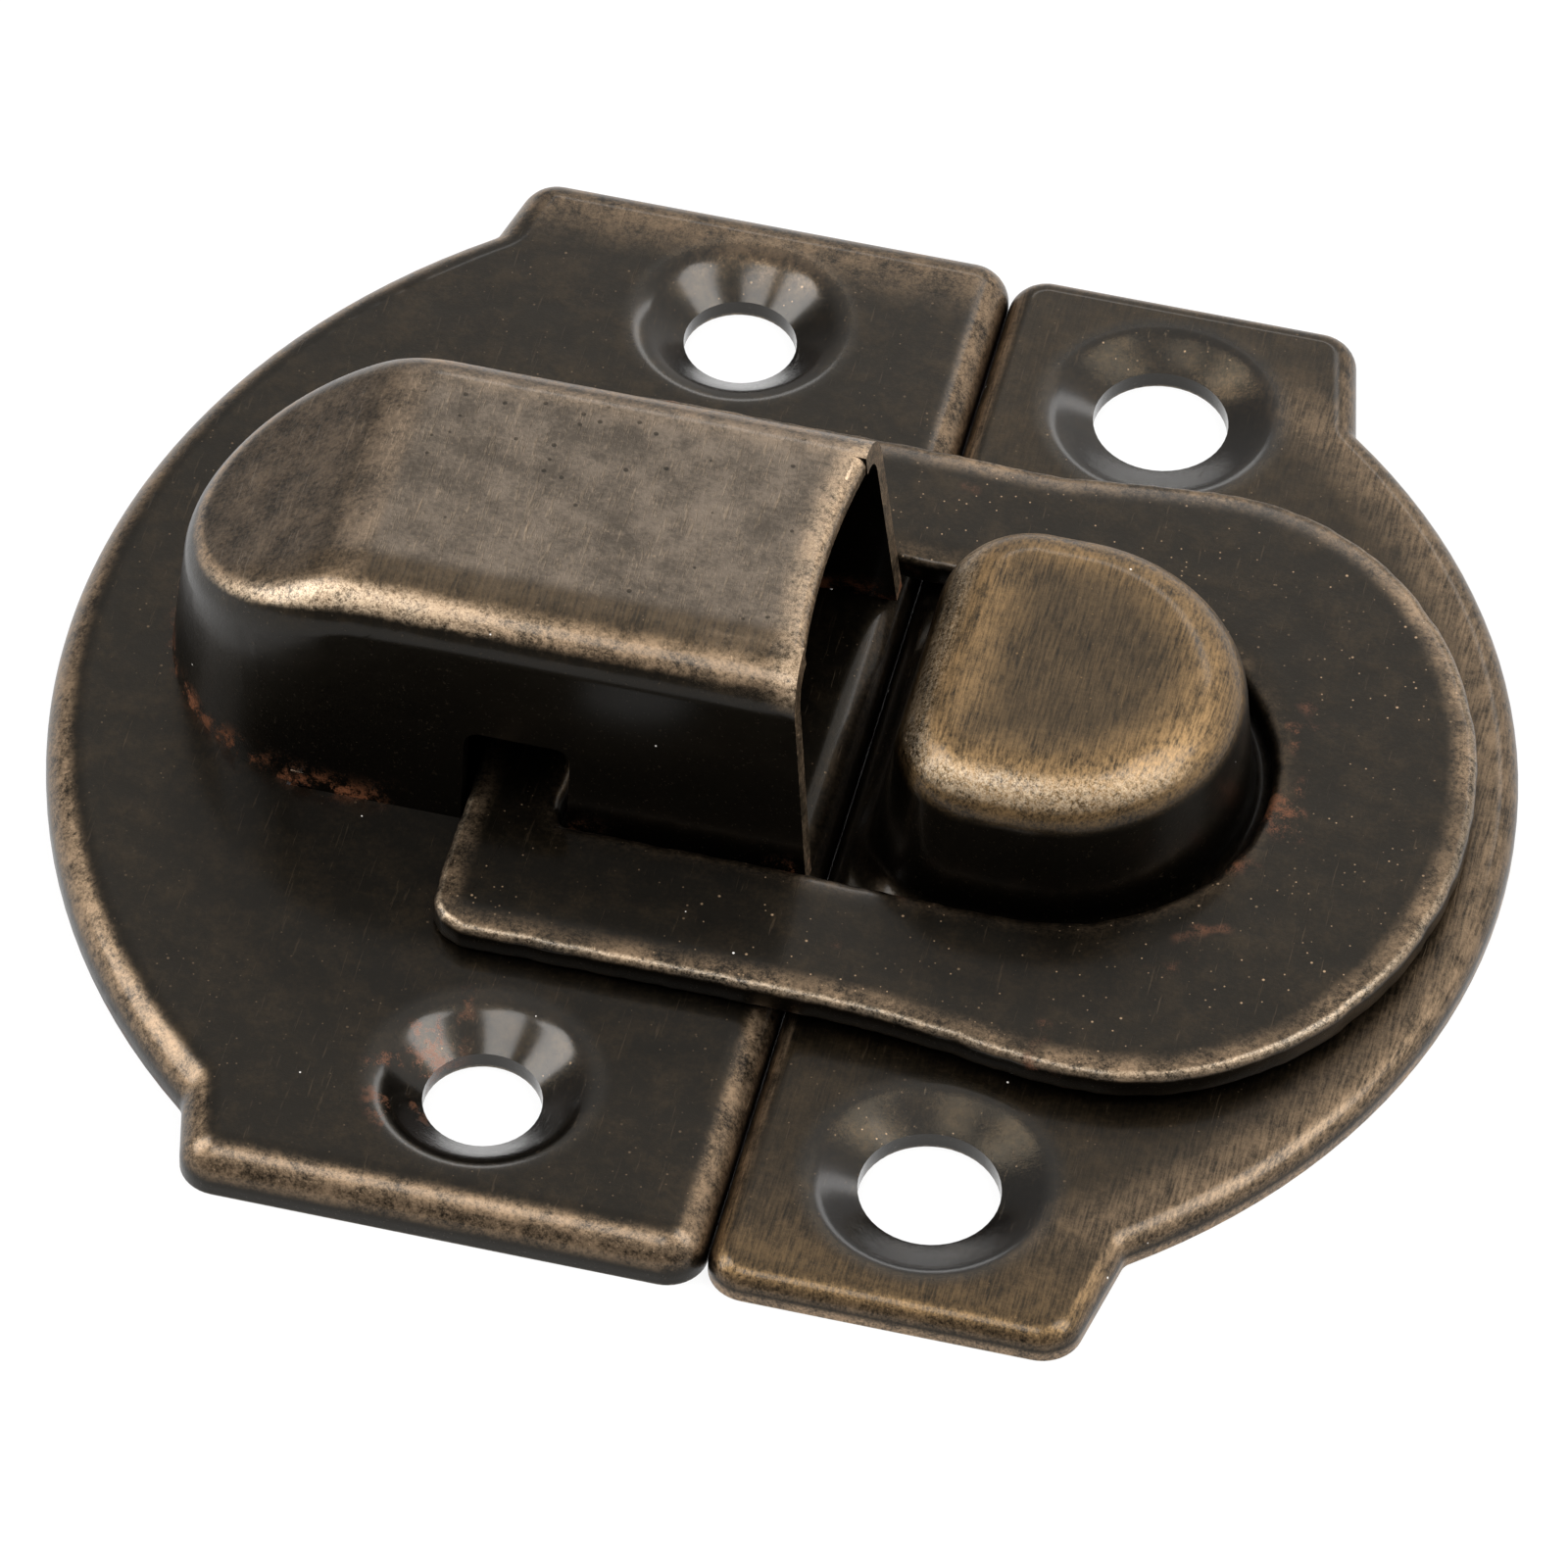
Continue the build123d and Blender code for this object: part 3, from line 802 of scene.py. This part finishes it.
def hood_finish(finish):
    """Mottled roof, worn along its edges, with painted shade darkening the back slope and the walls, and a
    painted highlight along the near edge.
    """
    surface = Surface("hood_bronze")
    roof = surface.nz.step(0.70, 0.95)
    flat = surface.nz.step(0.93, 0.985)
    slope = (0 - surface.nx).band(0.45, 0.12, 0.10) * surface.nz.step(0.5, 0.8)
    fold = (0 - surface.nx).band(0.24, 0.08, 0.14) * roof
    near = (0 - surface.ny).step(0.2, 0.5)
    # The rubbed band stays on the back slope's near side and weakens towards the right of the near edge,
    # following the painted highlight there
    edge = surface.nz.band(0.76, 0.10, 0.13) * (1 - 0.7 * slope * (1 - near))
    edge = edge * (1 - 0.35 * near * surface.x.step(*NEAR_EDGE_X))
    far = surface.y.step(*ROOF_FAR_Y) * roof
    band = surface.y.band(*ROOF_BAND_Y) * roof
    front = surface.x.step(HOOD[1].x - 4.5, HOOD[1].x - 3.5)
    lip = front * surface.edges(1.6).step(0.004, 0.05) * surface.nz.highest(surface.nx).step(0.2, 0.7)
    wear = (edge * HOOD_EDGE_WEAR).highest(lip).highest(far * HOOD_FAR_WEAR).highest(fold * HOOD_FOLD_WEAR)
    # Painted highlight along the roof's near edge, strongest on the left
    near_highlight = edge * near * surface.x.step(*NEAR_HIGHLIGHT_X)
    bright = (near_highlight * HOOD_EDGE_HIGHLIGHT).highest(lip * HOOD_LIP_SHINE)
    foot = surface.z.step(HOOD_PLATE[1].z + 1.3, HOOD_PLATE[1].z + 0.1)
    rust = foot * rust_patches(surface)
    # Grey film on the roof; the back slope gets less of it and the walls none, which paints them darker as
    # shade
    bloom = (roof * 0.22 + slope * 0.20 + flat * 0.66) * (1 - 0.85 * band)
    return patina(surface, finish, wear, bright, brush=band * 0.55, bloom=bloom, rust=rust)


def ring_finish(finish):
    """Dark ring with rubbed, rolled-over edges, a painted highlight along the outer crest and a few rust
    stains.
    """
    surface = Surface("hasp_bronze")
    rub = surface.start.node("ShaderNodeAttribute", {"attribute_name": "rub"}, out="Fac")
    wear = rub.step(0.10, 1.0) * (0.25 + 0.30 * surface.noise(*BARE_AREAS).step(0.38, 0.60))
    # Painted highlight along the outer edge's crest
    crest = rub.step(0.9, 1.0) * surface.nz.step(0.30, 0.6) * surface.nz.step(0.98, 0.88)
    rust = surface.noise(*RING_RUST).step(0.62, 0.70) * 0.8
    return patina(
        surface, finish, wear * surface.nz.step(0.1, 0.5), crest * RING_CREST_HIGHLIGHT, rust=rust, fleck=0.75
    )


def spring_finish(finish):
    """Dull spring strip, stained."""
    surface = Surface("spring_steel")
    flat = surface.nz.size()
    rust = surface.noise(*SPRING_RUST).step(0.45, 0.65) * 0.7
    return patina(surface, finish, flat * 0.3, brush=flat * 0.4, bloom=flat * 0.4, rust=rust)


class BOXHASP_OT_hood_plate(bpy.types.Operator):
    """Dress the plate that goes on the lid"""

    bl_idname = "boxhasp.hood_plate"
    bl_label = "Hood Plate"

    def execute(self, context):
        finish, sizes = context.scene.hasp_finish, context.scene.hasp_sizes
        piece = welded("hood_plate", "lid_plate")
        seat(piece, "hood_plate", hood_plate_finish(finish, sizes))
        return {"FINISHED"}


class BOXHASP_OT_hood(bpy.types.Operator):
    """Dress the hood over the spring"""

    bl_idname = "boxhasp.hood"
    bl_label = "Hood"

    def execute(self, context):
        piece = welded("hood", "spring_hood", HOOD_EDGE_ROUND)
        seat(piece, "hood", hood_finish(context.scene.hasp_finish))
        return {"FINISHED"}


class BOXHASP_OT_ring(bpy.types.Operator):
    """Dress the ring that closes over the boss"""

    bl_idname = "boxhasp.ring"
    bl_label = "Hasp Ring"

    def execute(self, context):
        piece = ring_mesh(context.scene.hasp_sizes)
        seat(piece, "hasp", ring_finish(context.scene.hasp_finish))
        return {"FINISHED"}


class BOXHASP_OT_spring(bpy.types.Operator):
    """Dress the leaf spring, on a mesh of its own; on the real hasp it flattens under the hood's roof as the
    ring opens, but here it keeps one shape
    """

    bl_idname = "boxhasp.spring"
    bl_label = "Leaf Spring"

    def execute(self, context):
        piece = welded("leaf_spring", "bent_spring", SPRING_EDGE_ROUND)
        seat(piece, "leaf_spring", spring_finish(context.scene.hasp_finish))
        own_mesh(piece)
        return {"FINISHED"}


class BOXHASP_OT_catch_plate(bpy.types.Operator):
    """Dress the plate with the boss that goes on the box"""

    bl_idname = "boxhasp.catch_plate"
    bl_label = "Catch Plate"

    def execute(self, context):
        finish, sizes = context.scene.hasp_finish, context.scene.hasp_sizes
        piece = welded("catch_plate", "box_plate")
        seat(piece, "catch_plate", catch_plate_finish(finish, sizes))
        return {"FINISHED"}


def floor_material():
    """Pale floor that shows white to the eye and in reflections, and still takes a soft shadow."""
    material = bpy.data.materials.new("pale_floor")
    material.use_nodes = True
    material.node_tree.nodes.clear()
    start = Field(material.node_tree)
    rays = ("Is Camera Ray", "Is Glossy Ray", "Is Transmission Ray")
    seen = functools.reduce(Field.highest, [start.node("ShaderNodeLightPath", out=ray) for ray in rays])
    paint = opaque((FLOOR_GREY, FLOOR_GREY, FLOOR_GREY))
    matt = start.node("ShaderNodeBsdfDiffuse", sockets={"Color": paint})
    white = start.node("ShaderNodeEmission", sockets={"Color": (1, 1, 1, 1), "Strength": 1.0})
    mixed = start.node("ShaderNodeMixShader", sockets={0: seen * FLOOR_GLOW, 1: matt, 2: white})
    start.node("ShaderNodeOutputMaterial", sockets={"Surface": mixed})
    return material


def add_lamp(name, power, size, place):
    """Area lamp at a place, facing the part."""
    data = bpy.data.lights.new(name, "AREA")
    data.energy = power
    data.shape = "RECTANGLE"
    data.size, data.size_y = size
    lamp = bpy.data.objects.new(name, data)
    lamp.location = place
    lamp.rotation_euler = (-Vector(place)).to_track_quat("-Z", "Y").to_euler()
    bpy.context.scene.collection.objects.link(lamp)
    return lamp


class BOXHASP_OT_stage(bpy.types.Operator):
    """Add the floor, the light and the camera"""

    bl_idname = "boxhasp.stage"
    bl_label = "Stage"

    def execute(self, context):
        stage = context.scene.hasp_stage
        sides = ((-1, -1), (1, -1), (1, 1), (-1, 1))
        corners = [(x * FLOOR_HALF, y * FLOOR_HALF, -FLOOR_DROP) for x, y in sides]
        mesh = bpy.data.meshes.new("floor")
        mesh.from_pydata(corners, [], [(0, 1, 2, 3)])
        mesh.materials.append(floor_material())
        floor = bpy.data.objects.new("floor", mesh)
        context.scene.collection.objects.link(floor)
        lamps = [
            add_lamp("key", stage.key, *KEY_LAMP),
            add_lamp("left", stage.left, *LEFT_LAMP),
            add_lamp("right", stage.right, *RIGHT_LAMP),
            add_lamp("strip", stage.rim, *STRIP_LAMP),
        ]

        world = bpy.data.worlds.new("surround")
        world.use_nodes = True
        world.node_tree.nodes.clear()
        start = Field(world.node_tree)
        way = start.node("ShaderNodeTexCoord", out="Generated")
        axes = [start.node("ShaderNodeSeparateXYZ", sockets={0: way}, out=axis) for axis in range(3)]
        leans = [axis * lean for axis, lean in zip(axes, SKY_LEAN)]
        open_side = functools.reduce(Field.__add__, leans).step(0.0, SKY_FULL)
        sky = open_side.mix(opaque(stage.low_fill), opaque(stage.high_fill))
        light = start.node("ShaderNodeBackground", sockets={"Color": sky, "Strength": 1.0})
        start.node("ShaderNodeOutputWorld", sockets={"Surface": light})
        context.scene.world = world
        context.scene.view_settings.view_transform = "Standard"

        right = Vector((math.cos(stage.azimuth), math.sin(stage.azimuth), 0))
        back = Vector((
            math.sin(stage.azimuth) * math.cos(stage.elevation),
            -math.cos(stage.azimuth) * math.cos(stage.elevation),
            math.sin(stage.elevation),
        ))
        up = back.cross(right)
        across = math.cos(stage.roll) * right + math.sin(stage.roll) * up
        data = bpy.data.cameras.new("camera")
        data.sensor_width = SENSOR_WIDTH
        data.lens = stage.lens
        data.clip_start = CLIP_START
        camera = bpy.data.objects.new("camera", data)
        turn = Matrix((across, back.cross(across), back)).transposed()
        place = Vector(stage.target) + stage.distance * back
        camera.matrix_world = Matrix.Translation(place) @ turn.to_4x4()
        context.scene.collection.objects.link(camera)
        context.scene.camera = camera
        return {"FINISHED"}


class BOXHASP_PT_panel(bpy.types.Panel):
    """Lists the pieces of the hasp"""

    bl_idname = "BOXHASP_PT_panel"
    bl_label = "Box Hasp"
    bl_space_type = "VIEW_3D"
    bl_region_type = "UI"
    bl_category = "Box Hasp"

    def draw(self, context):
        for operator in OPERATORS:
            self.layout.operator(operator.bl_idname)


OPERATORS = (
    BOXHASP_OT_hood_plate,
    BOXHASP_OT_catch_plate,
    BOXHASP_OT_ring,
    BOXHASP_OT_spring,
    BOXHASP_OT_hood,
    BOXHASP_OT_stage,
)
CLASSES = (HaspFinish, HaspSizes, HaspStage, *OPERATORS, BOXHASP_PT_panel)


def register():
    for cls in CLASSES:
        bpy.utils.register_class(cls)
    bpy.types.Scene.hasp_finish = PointerProperty(type=HaspFinish)
    bpy.types.Scene.hasp_sizes = PointerProperty(type=HaspSizes)
    bpy.types.Scene.hasp_stage = PointerProperty(type=HaspStage)


def unregister():
    del bpy.types.Scene.hasp_stage
    del bpy.types.Scene.hasp_sizes
    del bpy.types.Scene.hasp_finish
    for cls in reversed(CLASSES):
        bpy.utils.unregister_class(cls)


def main():
    register()
    bpy.ops.boxhasp.hood_plate()
    bpy.ops.boxhasp.catch_plate()
    bpy.ops.boxhasp.ring()
    bpy.ops.boxhasp.spring()
    bpy.ops.boxhasp.hood()
    bpy.ops.boxhasp.stage()


if __name__ == "__main__":
    main()
